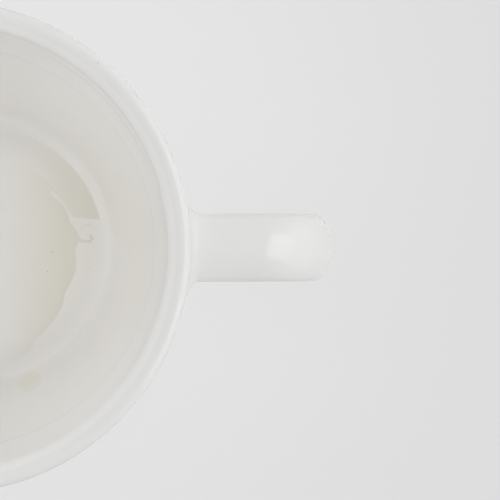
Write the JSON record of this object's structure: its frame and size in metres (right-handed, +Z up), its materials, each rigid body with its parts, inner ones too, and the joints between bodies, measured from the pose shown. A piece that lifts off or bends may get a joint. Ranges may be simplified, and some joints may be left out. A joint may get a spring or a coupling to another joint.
{
  "type": "coffee cup",
  "caption": "Plain white glazed coffee cup: a tapering round bowl with a rounded lip, a foot ring underneath and one broad strap handle.",
  "frame": {"origin": "on the cup's axis, in the plane of the foot ring's face that stands on the table", "axes": "+Z up along the cup's axis, +X towards the handle, +Y to the right seen from the handle"},
  "size_m": [0.1137, 0.088, 0.058],
  "materials": {
    "glaze": "smooth clear gloss glaze over a warm white body, with a faint dried coffee stain on the inside floor and a few tiny dark pinholes"
  },
  "bodies": {
    "root": {"cup": "glaze"}
  },
  "joints": []
}
